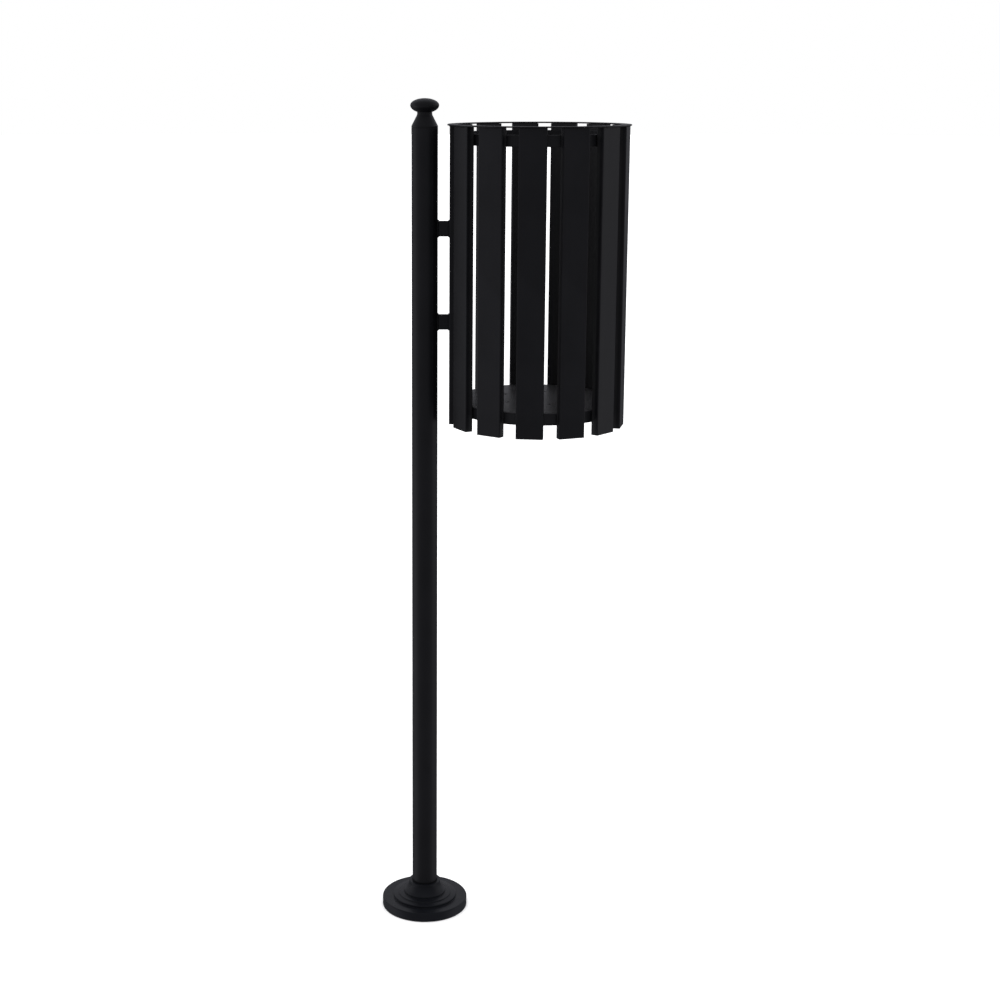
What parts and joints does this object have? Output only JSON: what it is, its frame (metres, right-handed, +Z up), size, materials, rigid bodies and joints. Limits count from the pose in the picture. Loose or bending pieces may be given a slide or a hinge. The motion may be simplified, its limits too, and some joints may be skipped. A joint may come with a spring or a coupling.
{
  "type": "litter bin",
  "caption": "Open-topped round slatted litter basket held beside a slender capped pole on a stepped round bolt-down base, all in black coated steel.",
  "frame": {"origin": "centre of the base's underside, on the ground and on the pole's axis", "axes": "+Z up along the pole, +X from the pole towards the basket, -Y towards the front, and the set screws face +Y"},
  "size_m": [0.4024, 0.2932, 1.3834],
  "materials": {
    "base_coat": "near-black satin polyester powder coat with a fine texture over a casting",
    "pole_coat": "near-black satin polyester powder coat with a fine texture",
    "finial_coat": "near-black satin polyester powder coat with a fine texture over a casting",
    "arm_coat": "near-black satin polyester powder coat with a fine texture",
    "ring_coat": "near-black satin polyester powder coat with a fine texture",
    "hoop_coat": "near-black satin polyester powder coat with a fine texture",
    "floor_coat": "near-black satin polyester powder coat with a fine texture, scuffed by use",
    "slat_coat": "near-black satin polyester powder coat with a fine texture",
    "screw_steel": "blackened steel"
  },
  "bodies": {
    "root": {"base_flange": "base_coat", "collar_screw_left": "screw_steel", "collar_screw_right": "screw_steel", "pole_tube": "pole_coat", "pole_finial": "finial_coat", "finial_screw": "screw_steel", "upper_arm": "arm_coat", "lower_arm": "arm_coat", "top_ring": "ring_coat", "upper_hoop": "hoop_coat", "lower_hoop": "hoop_coat", "floor_disc": "floor_coat", "slat_01": "slat_coat", "slat_02": "slat_coat", "slat_03": "slat_coat", "slat_04": "slat_coat", "slat_05": "slat_coat", "slat_06": "slat_coat", "slat_07": "slat_coat", "slat_08": "slat_coat", "slat_09": "slat_coat", "slat_10": "slat_coat", "slat_11": "slat_coat", "slat_12": "slat_coat", "slat_13": "slat_coat"}
  },
  "joints": []
}
